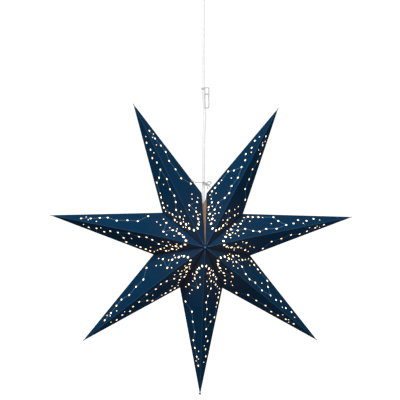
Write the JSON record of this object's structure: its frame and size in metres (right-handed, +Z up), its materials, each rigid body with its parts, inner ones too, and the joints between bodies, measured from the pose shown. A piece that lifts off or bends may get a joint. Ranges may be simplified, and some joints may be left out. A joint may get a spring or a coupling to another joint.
{
  "type": "hanging star lamp",
  "caption": "Hanging folding star lamp of punched navy card over a small screw bulb, on a straight cable with a clear cord clip and a ceiling cup.",
  "frame": {"origin": "centre of the ceiling bracket's upper face, where the lamp meets the ceiling", "axes": "+Z up the cable, the star's front faces -Y and its arms spread in X and Z"},
  "size_m": [0.5886, 0.1506, 0.8499],
  "materials": {
    "cup_metal": "satin",
    "zinc_steel": "satin",
    "block_plastic": "matte",
    "gland_plastic": "matte",
    "wire": "gloss",
    "cable_pvc": "satin",
    "clear_plastic": "gloss",
    "holder_plastic": "satin",
    "ceramic": "satin",
    "brass": "satin",
    "base_steel": "satin",
    "black_glass": "gloss",
    "bulb_glass": "frosted",
    "stem_glass": "clear",
    "navy_card": "matte",
    "cotton": "matte"
  },
  "bodies": {
    "ceiling_mount": {"ceiling_bracket": "zinc_steel", "terminal_block": "block_plastic", "ceiling_cup": "cup_metal", "cup_screws": "zinc_steel", "cup_gland": "gland_plastic", "gland_nut": "gland_plastic", "cable_tail": "cable_pvc", "cord_clamp": "gland_plastic", "lead_wires": "wire"},
    "swivel": {"swivel_ring": "gland_plastic"},
    "cable": {"power_cable": "cable_pvc"},
    "clip": {"cord_clip": "clear_plastic"},
    "lamp": {"cord_grip": "holder_plastic", "holder_cap": "holder_plastic", "holder_body": "holder_plastic", "socket_insert": "ceramic", "screw_shell": "brass", "centre_contact": "brass", "arm_bottom": "navy_card", "front_centre_seal": "navy_card", "back_centre_seal": "navy_card"},
    "bulb_tip": {"bulb_tip_contact": "brass"},
    "bulb": {"bulb_globe": "bulb_glass", "bulb_base": "base_steel", "bulb_insulator": "black_glass", "bulb_stem": "stem_glass"},
    "upper_left": {"arm_upper_left": "navy_card", "left_end_flap": "navy_card", "left_neck_tab": "navy_card", "tie_string": "cotton", "tie_bow": "cotton"},
    "left": {"arm_left": "navy_card"},
    "lower_left": {"arm_lower_left": "navy_card"},
    "upper_right": {"arm_upper_right": "navy_card", "right_end_flap": "navy_card", "right_neck_tab": "navy_card"},
    "right": {"arm_right": "navy_card"},
    "lower_right": {"arm_lower_right": "navy_card"}
  },
  "joints": [
    {"name": "swing_sideways", "type": "hinge", "parent": "ceiling_mount", "child": "swivel", "pos_m": [0, 0, -0.055], "axis": [0, 1, 0], "range_deg": [-12, 12]},
    {"name": "swing_fore_and_aft", "type": "hinge", "parent": "swivel", "child": "cable", "pos_m": [0, 0, -0.055], "axis": [1, 0, 0], "range_deg": [-12, 12]},
    {"name": "clip_slide", "type": "slide", "parent": "cable", "child": "clip", "axis": [0, 0, 1], "range_m": [-0.1, 0.15]},
    {"name": "star_turn", "type": "hinge", "parent": "cable", "child": "lamp", "pos_m": [0, 0, -0.55], "axis": [0, 0, 1], "range_deg": [-180, 180]},
    {"name": "bulb_screw_out", "type": "slide", "parent": "lamp", "child": "bulb_tip", "axis": [0, 0, -1], "range_m": [0, 0.0142]},
    {"name": "bulb_turn", "type": "hinge", "parent": "bulb_tip", "child": "bulb", "pos_m": [0, 0, -0.55], "axis": [0, 0, -1], "range_deg": [0, 1800]},
    {"name": "fold_upper_left", "type": "hinge", "parent": "lamp", "child": "upper_left", "pos_m": [-0.002, 0, -0.55], "axis": [0, -1, 0], "range_deg": [0, 141.6], "deforming": ["arm_upper_left", "left_end_flap", "left_neck_tab", "tie_string", "tie_bow"]},
    {"name": "fold_left", "type": "hinge", "parent": "lamp", "child": "left", "pos_m": [-0.002, 0, -0.55], "axis": [0, -1, 0], "range_deg": [0, 94.4], "deforming": ["arm_left"]},
    {"name": "fold_lower_left", "type": "hinge", "parent": "lamp", "child": "lower_left", "pos_m": [-0.002, 0, -0.55], "axis": [0, -1, 0], "range_deg": [0, 47.2], "deforming": ["arm_lower_left"]},
    {"name": "fold_upper_right", "type": "hinge", "parent": "lamp", "child": "upper_right", "pos_m": [-0.002, 0, -0.55], "axis": [0, 1, 0], "range_deg": [0, 141.6], "deforming": ["arm_upper_right", "right_end_flap", "right_neck_tab"]},
    {"name": "fold_right", "type": "hinge", "parent": "lamp", "child": "right", "pos_m": [-0.002, 0, -0.55], "axis": [0, 1, 0], "range_deg": [0, 94.4], "deforming": ["arm_right"]},
    {"name": "fold_lower_right", "type": "hinge", "parent": "lamp", "child": "lower_right", "pos_m": [-0.002, 0, -0.55], "axis": [0, 1, 0], "range_deg": [0, 47.2], "deforming": ["arm_lower_right"]}
  ],
  "couplings": [
    {"joint": "bulb_screw_out", "follows": "bulb_turn", "m_per_rad": 0.00044882},
    {"joint": "fold_upper_right", "follows": "fold_upper_left", "ratio": 1},
    {"joint": "fold_left", "follows": "fold_upper_left", "ratio": 0.66667},
    {"joint": "fold_right", "follows": "fold_upper_left", "ratio": 0.66667},
    {"joint": "fold_lower_left", "follows": "fold_upper_left", "ratio": 0.33333},
    {"joint": "fold_lower_right", "follows": "fold_upper_left", "ratio": 0.33333}
  ]
}
